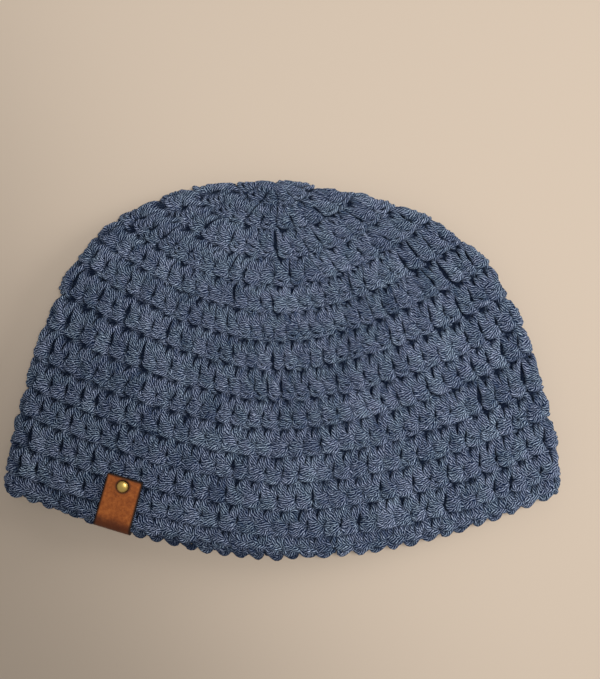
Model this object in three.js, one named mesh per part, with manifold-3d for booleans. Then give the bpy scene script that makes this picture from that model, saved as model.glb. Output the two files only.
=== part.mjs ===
// A crocheted beanie lying flat, crown towards +Y and mouth towards -Y, in millimetres, +Z up.
// The body is one hollow wall worked in rounds from the crown to the mouth, folded flat along its
// two sides, with a separate edging band round the mouth and a folded leather tag riveted over the
// front hem near its left end. The origin is at the middle of the footprint, at the resting surface.
import * as THREE from "three";
import { ParametricGeometry } from "three/addons/geometries/ParametricGeometry.js";
import { mergeVertices } from "three/addons/utils/BufferGeometryUtils.js";
import Module from "manifold-3d";

// ---- driving sizes (mm) ----
const WALL = 4.5; // crocheted fabric, the height of one stitch off the plane
const FOLD_R = 6.8; // outside radius of the two side folds and of the crown's top edge
const GAP = 0.3; // between neighbouring pieces
const LIFT_REACH = 68; // how far in from the fold the front has risen to its full height
const HEM_ROUND = 2.0; // depth of the rounding of the hem's edge
const CENTRE_X = 0.2; // middle of the footprint in the table's own figures
const CENTRE_Y = 0.1;

const TAG_WIDTH = 17.3;
const TAG_LEAF = 24.8; // from the fold's outside to the leaf's free end
const TAG_THICK = 1.3;
const TAG_CORNER = 0.8;
const TAG_X = -76.4; // middle of the front leaf
const TAG_Y = -62.4;
const TAG_TURN = -15.5; // degrees, so that the tag stands square to the hem
const RIVET_UP = 8.2; // from the middle of the leaf towards the crown
const RIVET_CAP_R = 3.0;
const RIVET_POST_R = 1.3;
const RIVET_DOME = 1.5;
const RIVET_BACK = 1.0;

// ---- a row for each round's lower edge, from the crown's centre (0) to the hem (14) ----
// fold lines on the left and right, lowest point of the front's curve and of the back's,
// how full the curve is on each side, and how far the front stands above the side folds
const COLUMNS = ["round", "leftX", "leftY", "rightX", "rightY", "frontX", "frontY", "backX", "backY", "bendL", "bendR", "lift"];
const ROUNDS = [
  [0, -2.6, 88.7, -2.6, 88.7, -2.6, 88.7, -2.6, 88.7, 2.6, 2.6, 6.0],
  [1, -22.6, 87.8, 16.1, 85.9, -2.6, 78.0, -2.6, 78.0, 2.6, 2.6, 6.0],
  [2, -42.2, 85.0, 34.3, 82.6, -2.5, 65.4, -2.5, 65.4, 2.4, 2.4, 6.0],
  [3, -58.1, 80.3, 52.5, 77.5, -2.4, 51.3, -2.4, 51.3, 2.2, 2.2, 6.0],
  [4, -77.0, 71.4, 69.8, 71.4, -2.2, 38.7, -2.2, 38.7, 2.0, 2.0, 6.0],
  [5, -87.5, 63.0, 84.7, 60.7, -2.0, 26.1, -2.0, 26.1, 1.85, 1.85, 6.0],
  [6, -96.4, 51.3, 96.9, 49.5, -1.8, 13.1, -1.8, 13.1, 1.75, 1.75, 6.0],
  [7, -104.3, 37.3, 105.3, 35.0, -1.6, 0.0, -1.6, 0.0, 1.65, 1.7, 6.0],
  [8, -111.3, 21.0, 112.7, 21.5, -1.5, -14.0, -1.5, -14.0, 1.6, 1.7, 5.9],
  [9, -116.9, 6.1, 117.4, 8.4, -1.4, -27.1, -1.4, -27.1, 1.55, 1.7, 5.6],
  [10, -120.2, -7.0, 122.5, -7.9, -1.2, -39.7, -1.2, -40.1, 1.55, 1.7, 5.0],
  [11, -123.5, -19.6, 125.3, -21.5, 1.5, -51.8, -1.2, -52.9, 1.55, 1.7, 4.2],
  [12, -126.5, -33.6, 128.6, -35.9, 5.5, -64.2, -1.6, -66.4, 1.6, 1.68, 3.4],
  [13, -129.1, -46.7, 130.0, -48.6, 11.0, -76.6, -2.4, -80.4, 1.65, 1.66, 2.6],
  [14, -129.8, -55.5, 130.0, -56.0, 17.5, -84.6, -4.0, -88.6, 1.65, 1.64, 2.0],
].map((row) => Object.fromEntries(COLUMNS.map((name, i) => [name, row[i]])));

// ---- shallow dents and swells of the front: place, reach each way and depth (down is negative) ----
const DENTS = [
  { x: -8, y: 72, reachX: 40, reachY: 13, depth: -1.3 }, // the crown's gathered centre
  { x: -70, y: 18, reachX: 34, reachY: 44, depth: 0.7 }, // full left side
  { x: 62, y: 22, reachX: 36, reachY: 42, depth: 0.8 }, // full right side
  { x: 36, y: -52, reachX: 52, reachY: 16, depth: -0.6 }, // slack over the middle of the mouth
];

// rows of facets along each wall, as round numbers, and facets across each layer between the folds
const CROWN_ROWS = [0, 0.12, 0.3, 0.6, 1, 1.5, 2, 2.5, 3, 4, 5, 6, 7, 8, 9, 10, 11, 12];
const FOLD_STEPS = 3;
const FLAT_STEPS = 20;

// ---- the flattened form ----

// one column of the table at any round number, on a smooth curve through the rows
function column(name, round) {
  const n = ROUNDS.length - 1;
  const i = Math.min(Math.max(Math.floor(round), 0), n - 1);
  const t = round - i;
  const at = (j) => (j < 0 ? 2 * ROUNDS[0][name] - ROUNDS[1][name] : j > n ? 2 * ROUNDS[n][name] - ROUNDS[n - 1][name] : ROUNDS[j][name]);
  const a = at(i - 1), b = at(i), c = at(i + 1), d = at(i + 2);
  return b + (t / 2) * (c - a + t * (2 * a - 5 * b + 4 * c - d + t * (3 * (b - c) + d - a)));
}

// the outline of the folded hat, down the left and the right side, run on straight past the hem
const OUTLINE = [-1, 1].flatMap((side) => {
  const [nameX, nameY] = side < 0 ? ["leftX", "leftY"] : ["rightX", "rightY"];
  const points = Array.from({ length: 113 }, (_, i) => new THREE.Vector2(column(nameX, i / 8), column(nameY, i / 8)));
  const last = points[112];
  points.push(new THREE.Vector2(last.x, last.y - 60));
  return points.slice(1).map((end, i) => ({ start: points[i], end }));
});

// distance in from the outline, and the way straight in from it
function inFrom(x, y) {
  let best = Infinity, nx = 0, ny = 0;
  for (const { start, end } of OUTLINE) {
    const ex = end.x - start.x, ey = end.y - start.y;
    const t = THREE.MathUtils.clamp(((x - start.x) * ex + (y - start.y) * ey) / (ex * ex + ey * ey || 1), 0, 1);
    const dx = x - start.x - t * ex, dy = y - start.y - t * ey;
    const d = Math.hypot(dx, dy);
    if (d < best) {
      best = d;
      const length = Math.hypot(ex, ey) || 1;
      [nx, ny] = d > 0.5 ? [dx / d, dy / d] : [ey / length, -ex / length];
      if (d <= 0.5 && nx * (-2 - x) + ny * (20 - y) < 0) [nx, ny] = [-nx, -ny];
    }
  }
  return { distance: best, nx, ny };
}

// a point of a round's curve on the front or the back, by the share of its width from left to right
function planPoint(round, share, front) {
  const [leftX, leftY, rightX, rightY] = ["leftX", "leftY", "rightX", "rightY"].map((name) => column(name, round));
  const midX = column(front ? "frontX" : "backX", round), midY = column(front ? "frontY" : "backY", round);
  const x = leftX + (rightX - leftX) * share;
  const [endX, endY, bend] = x < midX ? [leftX, leftY, column("bendL", round)] : [rightX, rightY, column("bendR", round)];
  const t = Math.min(Math.abs((x - midX) / (endX - midX || 1e-9)), 1);
  return new THREE.Vector2(x, midY + (endY - midY) * t ** bend);
}

// the places along a round's curve, by length, with close steps round each fold
function roundPoints(round, front) {
  const fine = Array.from({ length: 241 }, (_, i) => planPoint(round, (1 - Math.cos((Math.PI * i) / 240)) / 2, front));
  const along = [0];
  fine.slice(1).forEach((p, i) => along.push(along[i] + p.distanceTo(fine[i])));
  const total = along[240];
  const reach = Math.min(FOLD_R, total / 5);
  const stations = [];
  for (let i = 0; i < FOLD_STEPS; i++) stations.push(reach * (1 - Math.cos((Math.PI / 2) * (i / FOLD_STEPS))));
  for (let i = 0; i <= FLAT_STEPS; i++) stations.push(reach + (total - 2 * reach) * (i / FLAT_STEPS));
  for (let i = FOLD_STEPS - 1; i >= 0; i--) stations.push(total - reach * (1 - Math.cos((Math.PI / 2) * (i / FOLD_STEPS))));
  return stations.map((s) => {
    let i = 1;
    while (i < 240 && along[i] < s) i++;
    const t = (s - along[i - 1]) / (along[i] - along[i - 1] || 1);
    return fine[i - 1].clone().lerp(fine[i], THREE.MathUtils.clamp(t, 0, 1));
  });
}

// height of the front above the side folds
function liftAt(round, x, y, distance) {
  const rise = THREE.MathUtils.smoothstep(distance, 3, LIFT_REACH);
  const dents = DENTS.reduce((sum, d) => sum + d.depth * Math.exp(-(((x - d.x) / d.reachX) ** 2) - ((y - d.y) / d.reachY) ** 2), 0);
  return column("lift", round) * rise + dents * THREE.MathUtils.smoothstep(distance, 3, 20);
}

// a point in the wall: depth 0 is the outside face and 1 the inside face
function wallPoint(round, plan, front, depth) {
  const inset = WALL * depth;
  const edge = inFrom(plan.x, plan.y);
  const push = inset * Math.max(0, 1 - edge.distance / 30);
  const x = plan.x + edge.nx * push, y = plan.y + edge.ny * push;
  const distance = Math.max(edge.distance + push - inset, 0);
  const radius = FOLD_R - inset;
  const over = distance < radius ? Math.sqrt(Math.max(radius * radius - (radius - distance) ** 2, 0)) : radius;
  return new THREE.Vector3(x, y, front ? FOLD_R + over + liftAt(round, x, y, edge.distance) : FOLD_R - over);
}

// ---- solids ----
const SLICES = 2 * (2 * FOLD_STEPS + FLAT_STEPS);
const wasm = await Module();
wasm.setup();

// a closed wall lofted through sections {round, depth}; a wall with no crown in it closes on itself
function loft(sections) {
  const rows = sections.map(({ round, depth }) => {
    const front = roundPoints(round, true), back = roundPoints(round, false);
    const ring = [...front.slice(0, -1).map((p) => wallPoint(round, p, true, depth)), ...back.slice(1).reverse().map((p) => wallPoint(round, p, false, depth))];
    return [...ring, ring[0]];
  });
  return closed(new ParametricGeometry((u, v, target) => target.copy(rows[Math.round(v * (rows.length - 1))][Math.round(u * SLICES)]), SLICES, rows.length - 1));
}

// merges a geometry's corners, drops its faces without width and turns its faces out
function closed(geometry) {
  const bare = geometry.index ? geometry.toNonIndexed() : geometry.clone();
  for (const name of ["normal", "uv"]) bare.deleteAttribute(name);
  const merged = mergeVertices(bare, 1e-4);
  const index = [];
  for (let i = 0; i < merged.index.count; i += 3) {
    const [a, b, c] = [0, 1, 2].map((j) => merged.index.getX(i + j));
    if (a !== b && b !== c && c !== a) index.push(a, b, c);
  }
  const p = merged.attributes.position, v = [0, 1, 2].map(() => new THREE.Vector3());
  let volume = 0;
  for (let i = 0; i < index.length; i += 3) {
    v.forEach((q, j) => q.fromBufferAttribute(p, index[i + j]));
    volume += v[0].dot(v[1].cross(v[2])) / 6;
  }
  if (volume < 0) for (let i = 0; i < index.length; i += 3) [index[i], index[i + 1]] = [index[i + 1], index[i]];
  merged.setIndex(index);
  return merged;
}

const solid = (geometry) => new wasm.Manifold(new wasm.Mesh({ numProp: 3, vertProperties: new Float32Array(geometry.attributes.position.array), triVerts: new Uint32Array(geometry.index.array) }));

function geometryOf(manifold) {
  const mesh = manifold.getMesh();
  const geometry = new THREE.BufferGeometry();
  geometry.setAttribute("position", new THREE.BufferAttribute(new Float32Array(mesh.vertProperties), 3));
  geometry.setIndex(new THREE.BufferAttribute(new Uint32Array(mesh.triVerts), 1));
  geometry.computeVertexNormals();
  return geometry;
}

// a pin of the given radius along the tag's own up axis, for cutting holes
function holeCutter(radius, low, high) {
  const pin = new THREE.CylinderGeometry(radius, radius, high - low, 24);
  pin.rotateX(Math.PI / 2);
  pin.translate(0, RIVET_UP, (low + high) / 2);
  return pin;
}

// ---- the tag's own frame: x across, y towards the crown, z out of the front ----
const turn = THREE.MathUtils.degToRad(TAG_TURN);
const tagUp = new THREE.Vector2(-Math.sin(turn), Math.cos(turn));
const tagAcross = new THREE.Vector2(Math.cos(turn), Math.sin(turn));

// the round number at a place on the front, found by halving
function roundAt(x, y) {
  let low = 0.5, high = 14.6;
  for (let i = 0; i < 30; i++) {
    const mid = (low + high) / 2;
    const left = column("leftX", mid), right = column("rightX", mid);
    const share = THREE.MathUtils.clamp((x - left) / (right - left), 0, 1);
    if (planPoint(mid, share, true).y > y) low = mid;
    else high = mid;
  }
  return (low + high) / 2;
}

function frontPoint(across, up, depth) {
  const x = TAG_X + tagAcross.x * across + tagUp.x * up, y = TAG_Y + tagAcross.y * across + tagUp.y * up;
  return wallPoint(Math.min(roundAt(x, y), 14), new THREE.Vector2(x, y), true, depth);
}

const tagMiddle = frontPoint(0, 2, 0.5);
const acrossSlope = (frontPoint(8, 2, 0.5).z - frontPoint(-8, 2, 0.5).z) / 16;
const upSlope = (frontPoint(0, 11, 0.5).z - frontPoint(0, -7, 0.5).z) / 18;
const axisX = new THREE.Vector3(tagAcross.x, tagAcross.y, acrossSlope).normalize();
const axisZ = new THREE.Vector3().crossVectors(axisX, new THREE.Vector3(tagUp.x, tagUp.y, upSlope)).normalize();
const axisY = new THREE.Vector3().crossVectors(axisZ, axisX);
const tagFrame = new THREE.Matrix4().makeBasis(axisX, axisY, axisZ).setPosition(TAG_X, TAG_Y, tagMiddle.z - 2 * upSlope);
const toTag = tagFrame.clone().invert();

// how far the wall's two faces stand off the frame's own plane under the tag
let wallTop = -Infinity, wallUnder = Infinity;
for (let across = -0.5; across <= 0.51; across += 0.25)
  for (let up = -8; up <= TAG_LEAF / 2; up += 2) {
    wallTop = Math.max(wallTop, frontPoint(across * TAG_WIDTH, up, 0).applyMatrix4(toTag).z);
    wallUnder = Math.min(wallUnder, frontPoint(across * TAG_WIDTH, up, 1).applyMatrix4(toTag).z);
  }
const leafUnder = wallTop + GAP; // underside of the front leaf
const leafInner = wallUnder - GAP; // upper side of the inside leaf
const bendR = (leafUnder - leafInner) / 2;
const bendMid = (leafUnder + leafInner) / 2;
const bendY = -TAG_LEAF / 2 + TAG_THICK + bendR;

// ---- crown: outside from the crown's centre to the mouth, rim, inside back to the centre ----
const crownRows = [...CROWN_ROWS, 13 - 0.012];
const crownWall = loft([...crownRows.map((round) => ({ round, depth: 0 })), ...crownRows.slice().reverse().map((round) => ({ round, depth: 1 }))]);
const crownHole = closed(holeCutter(RIVET_POST_R + GAP, wallUnder - 1.5, wallTop + 3).applyMatrix4(tagFrame));
const crownGeometry = geometryOf(solid(crownWall).subtract(solid(crownHole)));

// ---- hem edging: a ring whose lower edge is rounded ----
const roundPitch = 8; // height of the band at its lowest point
const edging = [
  { round: 13 + GAP / roundPitch, depth: 0 },
  { round: 13.35, depth: 0 },
  { round: 14 - HEM_ROUND / roundPitch, depth: 0 },
  { round: 14 - (0.3 * HEM_ROUND) / roundPitch, depth: 0.16 },
  { round: 14, depth: 0.5 },
  { round: 14 - (0.3 * HEM_ROUND) / roundPitch, depth: 0.84 },
  { round: 14 - HEM_ROUND / roundPitch, depth: 1 },
  { round: 13.35, depth: 1 },
  { round: 13 + GAP / roundPitch, depth: 1 },
];
const edgingGeometry = loft([...edging, edging[0]]);
edgingGeometry.computeVertexNormals();

// ---- tag: one strip of leather bent round the hem, drawn in its side view and given its width ----
const strip = new THREE.Shape();
strip.moveTo(TAG_LEAF / 2, leafUnder);
strip.lineTo(TAG_LEAF / 2, leafUnder + TAG_THICK - 0.3);
strip.lineTo(TAG_LEAF / 2 - 0.3, leafUnder + TAG_THICK);
strip.lineTo(bendY, leafUnder + TAG_THICK);
strip.absarc(bendY, bendMid, bendR + TAG_THICK, Math.PI / 2, (3 * Math.PI) / 2, false);
strip.lineTo(TAG_LEAF / 2 - 0.3, leafInner - TAG_THICK);
strip.lineTo(TAG_LEAF / 2, leafInner - TAG_THICK + 0.3);
strip.lineTo(TAG_LEAF / 2, leafInner);
strip.lineTo(bendY, leafInner);
strip.absarc(bendY, bendMid, bendR, (3 * Math.PI) / 2, Math.PI / 2, true);
strip.closePath();
const stripSolid = new THREE.ExtrudeGeometry(strip, { depth: TAG_WIDTH, bevelEnabled: false, curveSegments: 10 });
stripSolid.applyMatrix4(new THREE.Matrix4().makeBasis(new THREE.Vector3(0, 1, 0), new THREE.Vector3(0, 0, 1), new THREE.Vector3(1, 0, 0)));
stripSolid.translate(-TAG_WIDTH / 2, 0, 0);
// the free end's corners are rounded off by a plate of the tag's face shape
const face = new THREE.Shape();
const half = TAG_WIDTH / 2, low = -TAG_LEAF / 2 - 1, high = TAG_LEAF / 2;
face.moveTo(-half, low);
face.lineTo(half, low);
face.lineTo(half, high - TAG_CORNER);
face.absarc(half - TAG_CORNER, high - TAG_CORNER, TAG_CORNER, 0, Math.PI / 2, false);
face.lineTo(-half + TAG_CORNER, high);
face.absarc(-half + TAG_CORNER, high - TAG_CORNER, TAG_CORNER, Math.PI / 2, Math.PI, false);
face.closePath();
const plate = new THREE.ExtrudeGeometry(face, { depth: 30, bevelEnabled: false, curveSegments: 6 });
plate.translate(0, 0, -15);
const tagHole = closed(holeCutter(RIVET_POST_R + GAP, -15, 15));
const tagGeometry = geometryOf(solid(closed(stripSolid)).intersect(solid(closed(plate))).subtract(solid(tagHole)));

// ---- rivet: domed cap, post and back cap, turned about its own axis ----
const capUnder = leafUnder + TAG_THICK + GAP;
const backTop = leafInner - TAG_THICK - GAP;
const profile = [
  [0, backTop - RIVET_BACK],
  [RIVET_CAP_R - 0.35, backTop - RIVET_BACK],
  [RIVET_CAP_R, backTop - RIVET_BACK + 0.35],
  [RIVET_CAP_R, backTop],
  [RIVET_POST_R, backTop],
  [RIVET_POST_R, capUnder],
  [RIVET_CAP_R, capUnder],
  [RIVET_CAP_R, capUnder + 0.45],
  [RIVET_CAP_R * 0.93, capUnder + 0.75],
  [RIVET_CAP_R * 0.72, capUnder + RIVET_DOME * 0.78],
  [RIVET_CAP_R * 0.4, capUnder + RIVET_DOME * 0.95],
  [0, capUnder + RIVET_DOME],
].map(([r, h]) => new THREE.Vector2(r, h));
const rivetGeometry = closed(new THREE.LatheGeometry(profile, 28).rotateX(Math.PI / 2));
rivetGeometry.computeVertexNormals();

// ---- scene graph ----
const yarn = new THREE.MeshStandardMaterial({ color: 0x4c5a70, roughness: 0.95, metalness: 0 });
const yarnEdge = new THREE.MeshStandardMaterial({ color: 0x465368, roughness: 0.95, metalness: 0 });
const leather = new THREE.MeshStandardMaterial({ color: 0x9a5a2c, roughness: 0.55, metalness: 0 });
const brass = new THREE.MeshStandardMaterial({ color: 0x8d7544, roughness: 0.35, metalness: 1 });

const named = (name, geometry, material) => {
  const mesh = new THREE.Mesh(geometry, material);
  mesh.name = name;
  return mesh;
};

const beanie = new THREE.Group();
beanie.name = "beanie";
beanie.position.set(-CENTRE_X, -CENTRE_Y, 0);
beanie.add(named("crown", crownGeometry, yarn), named("hem_edging", edgingGeometry, yarnEdge));

const tagGroup = new THREE.Group();
tagGroup.applyMatrix4(tagFrame);
const rivet = named("rivet", rivetGeometry, brass);
rivet.position.set(0, RIVET_UP, 0);
tagGroup.add(named("tag", tagGeometry, leather), rivet);
beanie.add(tagGroup);

export default beanie;
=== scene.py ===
"""A crocheted beanie lying flat: plied yarn stitches laid over the hat's flattened form, a folded
leather tag and an antique brass rivet, with plain pale floor and soft light."""

import math

import bpy
import numpy as np
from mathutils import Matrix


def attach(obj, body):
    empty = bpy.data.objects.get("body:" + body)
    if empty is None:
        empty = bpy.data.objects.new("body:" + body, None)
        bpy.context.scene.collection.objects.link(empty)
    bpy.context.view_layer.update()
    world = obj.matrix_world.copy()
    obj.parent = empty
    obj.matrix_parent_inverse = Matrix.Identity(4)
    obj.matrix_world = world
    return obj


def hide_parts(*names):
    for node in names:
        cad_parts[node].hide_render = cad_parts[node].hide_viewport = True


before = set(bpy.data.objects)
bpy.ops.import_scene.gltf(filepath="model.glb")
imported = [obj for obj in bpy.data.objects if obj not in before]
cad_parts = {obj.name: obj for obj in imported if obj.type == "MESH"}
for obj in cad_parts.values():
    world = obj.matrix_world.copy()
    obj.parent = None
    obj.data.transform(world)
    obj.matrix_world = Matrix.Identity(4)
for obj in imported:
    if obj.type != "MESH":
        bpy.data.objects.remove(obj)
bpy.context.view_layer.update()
scene = bpy.context.scene
MM = 0.001

# ------------------------------------------------------------------ camera
cam_data = bpy.data.cameras.new("camera")
cam_data.lens = 50
cam_data.sensor_width = 36
cam_data.sensor_fit = "AUTO"
cam = bpy.data.objects.new("camera", cam_data)
scene.collection.objects.link(cam)
cam.location = (8.2 * MM, 14.2 * MM, 0.450)
cam.rotation_euler = (0, 0, 0)
scene.camera = cam

# ------------------------------------------------------------------ the flattened form
WALL, FOLD_R, LIFT_REACH = 4.5, 6.8, 68.0
CENTRE_X, CENTRE_Y = 0.2, 0.1
NAMES = ["round", "leftX", "leftY", "rightX", "rightY", "frontX", "frontY", "backX", "backY", "bendL", "bendR", "lift"]
ROUNDS = np.array([
    [0, -2.6, 88.7, -2.6, 88.7, -2.6, 88.7, -2.6, 88.7, 2.6, 2.6, 6.0],
    [1, -22.6, 87.8, 16.1, 85.9, -2.6, 78.0, -2.6, 78.0, 2.6, 2.6, 6.0],
    [2, -42.2, 85.0, 34.3, 82.6, -2.5, 65.4, -2.5, 65.4, 2.4, 2.4, 6.0],
    [3, -58.1, 80.3, 52.5, 77.5, -2.4, 51.3, -2.4, 51.3, 2.2, 2.2, 6.0],
    [4, -77.0, 71.4, 69.8, 71.4, -2.2, 38.7, -2.2, 38.7, 2.0, 2.0, 6.0],
    [5, -87.5, 63.0, 84.7, 60.7, -2.0, 26.1, -2.0, 26.1, 1.85, 1.85, 6.0],
    [6, -96.4, 51.3, 96.9, 49.5, -1.8, 13.1, -1.8, 13.1, 1.75, 1.75, 6.0],
    [7, -104.3, 37.3, 105.3, 35.0, -1.6, 0.0, -1.6, 0.0, 1.65, 1.7, 6.0],
    [8, -111.3, 21.0, 112.7, 21.5, -1.5, -14.0, -1.5, -14.0, 1.6, 1.7, 5.9],
    [9, -116.9, 6.1, 117.4, 8.4, -1.4, -27.1, -1.4, -27.1, 1.55, 1.7, 5.6],
    [10, -120.2, -7.0, 122.5, -7.9, -1.2, -39.7, -1.2, -40.1, 1.55, 1.7, 5.0],
    [11, -123.5, -19.6, 125.3, -21.5, 1.5, -51.8, -1.2, -52.9, 1.55, 1.7, 4.2],
    [12, -126.5, -33.6, 128.6, -35.9, 5.5, -64.2, -1.6, -66.4, 1.6, 1.68, 3.4],
    [13, -129.1, -46.7, 130.0, -48.6, 11.0, -76.6, -2.4, -80.4, 1.65, 1.66, 2.6],
    [14, -129.8, -55.5, 130.0, -56.0, 17.5, -84.6, -4.0, -88.6, 1.65, 1.64, 2.0],
])
DENTS = [(-8, 72, 40, 13, -1.3), (-70, 18, 34, 44, 0.7), (62, 22, 36, 42, 0.8), (36, -52, 52, 16, -0.6)]


def column(name, k):
    """One column of the table at any round numbers, on a smooth curve through the rows."""
    c = ROUNDS[:, NAMES.index(name)]
    c = np.concatenate([[2 * c[0] - c[1]], c, [2 * c[-1] - c[-2]]])
    k = np.asarray(k, float)
    i = np.clip(np.floor(k).astype(int), 0, len(ROUNDS) - 2)
    t = k - i
    a, b, d, e = c[i], c[i + 1], c[i + 2], c[i + 3]
    return b + t / 2 * (d - a + t * (2 * a - 5 * b + 4 * d - e + t * (3 * (b - d) + e - a)))


def outline_segments():
    k = np.arange(113) / 8
    out = []
    for s in ("left", "right"):
        p = np.stack([column(s + "X", k), column(s + "Y", k)], 1)
        p = np.vstack([p, p[-1] + [0, -60]])
        out.append((p[:-1], p[1:]))
    return np.vstack([out[0][0], out[1][0]]), np.vstack([out[0][1], out[1][1]])


SEG_A, SEG_B = outline_segments()


def in_from(p):
    """Distance in from the outline, and the way straight in."""
    flat = p.reshape(-1, 2)
    e = SEG_B - SEG_A
    ll = np.maximum((e**2).sum(1), 1e-9)
    dist = np.empty(len(flat))
    way = np.empty_like(flat)
    for s in range(0, len(flat), 8192):
        q = flat[s : s + 8192]
        d = q[:, None] - SEG_A[None]
        t = np.clip((d * e[None]).sum(2) / ll, 0, 1)
        r = d - t[..., None] * e[None]
        h = np.sqrt((r**2).sum(2))
        j = h.argmin(1)
        i = np.arange(len(q))
        best = h[i, j]
        side = np.stack([e[j, 1], -e[j, 0]], 1) / np.sqrt(ll[j])[:, None]
        inside = np.array([-2.0, 20.0]) - q
        side *= np.sign((side * inside).sum(1) + 1e-12)[:, None]
        near = best <= 0.5
        way[s : s + 8192] = np.where(near[:, None], side, r[i, j] / np.maximum(best, 1e-9)[:, None])
        dist[s : s + 8192] = best
    return dist.reshape(p.shape[:-1]), way.reshape(p.shape)


def smoothstep(x, a, b):
    t = np.clip((x - a) / (b - a), 0, 1)
    return t * t * (3 - 2 * t)


def plan_point(k, share, front):
    lx, ly, rx, ry = (column(n, k) for n in ("leftX", "leftY", "rightX", "rightY"))
    mx, my = column("frontX" if front else "backX", k), column("frontY" if front else "backY", k)
    x = lx + (rx - lx) * share
    left = x < mx
    ex, ey = np.where(left, lx, rx), np.where(left, ly, ry)
    bend = np.where(left, column("bendL", k), column("bendR", k))
    span = ex - mx
    t = np.clip(np.abs((x - mx) / np.where(np.abs(span) < 1e-9, 1e-9, span)), 0, 1)
    return np.stack([x, my + (ey - my) * t**bend], -1)


def wall_point(k, plan, front, depth):
    inset = WALL * depth
    dist, way = in_from(plan)
    push = inset * np.maximum(0, 1 - dist / 30)
    p = plan + way * push[..., None]
    d = np.maximum(dist + push - inset, 0)
    r = FOLD_R - inset
    over = np.where(d < r, np.sqrt(np.maximum(r * r - (r - d) ** 2, 0)), r)
    if front:
        rise = smoothstep(dist, 3, LIFT_REACH)
        dents = sum(dd * np.exp(-(((p[..., 0] - x) / rx) ** 2) - ((p[..., 1] - y) / ry) ** 2) for x, y, rx, ry, dd in DENTS)
        z = FOLD_R + over + column("lift", k) * rise + dents * smoothstep(dist, 3, 20)
    else:
        z = FOLD_R - over
    return np.concatenate([p, z[..., None]], -1)


# the middle of the wall on an even grid: round number down, share of the whole round across
GRID_K, GRID_A = 15 * 12 + 1, 2 * 180
K_MAX = 14.6


def form_grid():
    ks = np.linspace(0, K_MAX, GRID_K)
    share = (1 - np.cos(np.linspace(0, math.pi, 361))) / 2
    halves = []
    for front in (True, False):
        kk = np.repeat(ks[:, None], len(share), 1)
        p = wall_point(kk, plan_point(kk, np.repeat(share[None], len(ks), 0), front), front, 0.5)
        step = np.sqrt((np.diff(p, axis=1) ** 2).sum(2))
        along = np.concatenate([np.zeros((len(ks), 1)), np.cumsum(step, 1)], 1)
        total = along[:, -1:]
        want = np.linspace(0, 1, GRID_A // 2 + 1)
        out = np.empty((len(ks), len(want), 3))
        for i in range(len(ks)):
            f = along[i] / max(total[i, 0], 1e-9) if total[i, 0] > 1e-6 else np.linspace(0, 1, len(share))
            for c in range(3):
                out[i, :, c] = np.interp(want, f, p[i, :, c])
        halves.append(out)
    ring = np.concatenate([halves[0][:, :-1], halves[1][:, ::-1][:, :-1]], 1)
    return ring - np.array([CENTRE_X, CENTRE_Y, 0])


FORM = form_grid()


def form_normals():
    da = np.roll(FORM, -1, 1) - np.roll(FORM, 1, 1)
    dk = np.gradient(FORM, axis=0)
    n = np.cross(da, dk)
    n /= np.maximum(np.linalg.norm(n, axis=2, keepdims=True), 1e-9)
    # up on the front, down on the back, out at the sides
    flip = np.sign(n[GRID_K // 2, GRID_A // 4, 2])
    n *= -1 if flip < 0 else 1
    n[:6] = n[6:7]
    for _ in range(3):
        n = (np.roll(n, 1, 1) + 2 * n + np.roll(n, -1, 1)) / 4
        n /= np.maximum(np.linalg.norm(n, axis=2, keepdims=True), 1e-9)
    return n


NORMAL = form_normals()


def on_form(k, a, h):
    """World places in mm: round number, share of the round (0 to 1 across the front, to 2 across the back), height."""
    ki = np.clip(k / K_MAX * (GRID_K - 1), 0, GRID_K - 1.001)
    ai = np.mod(a / 2 * GRID_A, GRID_A)
    k0, a0 = np.floor(ki).astype(int), np.floor(ai).astype(int) % GRID_A
    kt, at = (ki - k0)[..., None], (ai - np.floor(ai))[..., None]
    k1, a1 = k0 + 1, (a0 + 1) % GRID_A

    def mix(g):
        return (g[k0, a0] * (1 - at) + g[k0, a1] * at) * (1 - kt) + (g[k1, a0] * (1 - at) + g[k1, a1] * at) * kt

    p, n = mix(FORM), mix(NORMAL)
    n /= np.maximum(np.linalg.norm(n, axis=-1, keepdims=True), 1e-9)
    return p + n * h[..., None], n


# ------------------------------------------------------------------ the tag's own frame
TAG_WIDTH, TAG_LEAF, TAG_THICK, TAG_CORNER = 17.3, 26.3, 1.3, 0.8
TAG_X, TAG_Y, TAG_TURN = -75.0, -61.3, math.radians(-16.4)
RIVET_UP, RIVET_CAP_R, RIVET_POST_R = 8.9, 2.9, 1.3
GAP = 0.3
TAG_ACROSS = np.array([math.cos(TAG_TURN), math.sin(TAG_TURN)])
TAG_UP = np.array([-math.sin(TAG_TURN), math.cos(TAG_TURN)])


def round_at(x, y):
    """The round number at a place on the front, found by halving."""
    low, high = 0.5, 14.6
    for _ in range(30):
        mid = (low + high) / 2
        left, right = float(column("leftX", mid)), float(column("rightX", mid))
        share = min(max((x - left) / (right - left), 0), 1)
        if plan_point(np.array([mid]), np.array([share]), True)[0, 1] > y:
            low = mid
        else:
            high = mid
    return (low + high) / 2


def tag_wall(across, up, depth):
    """The wall under the tag, in the model's own place (before the shift to the middle)."""
    p = np.array([TAG_X, TAG_Y]) + TAG_ACROSS * across + TAG_UP * up
    return wall_point(np.array([min(round_at(*p), 14)]), p[None], True, depth)[0]


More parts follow.
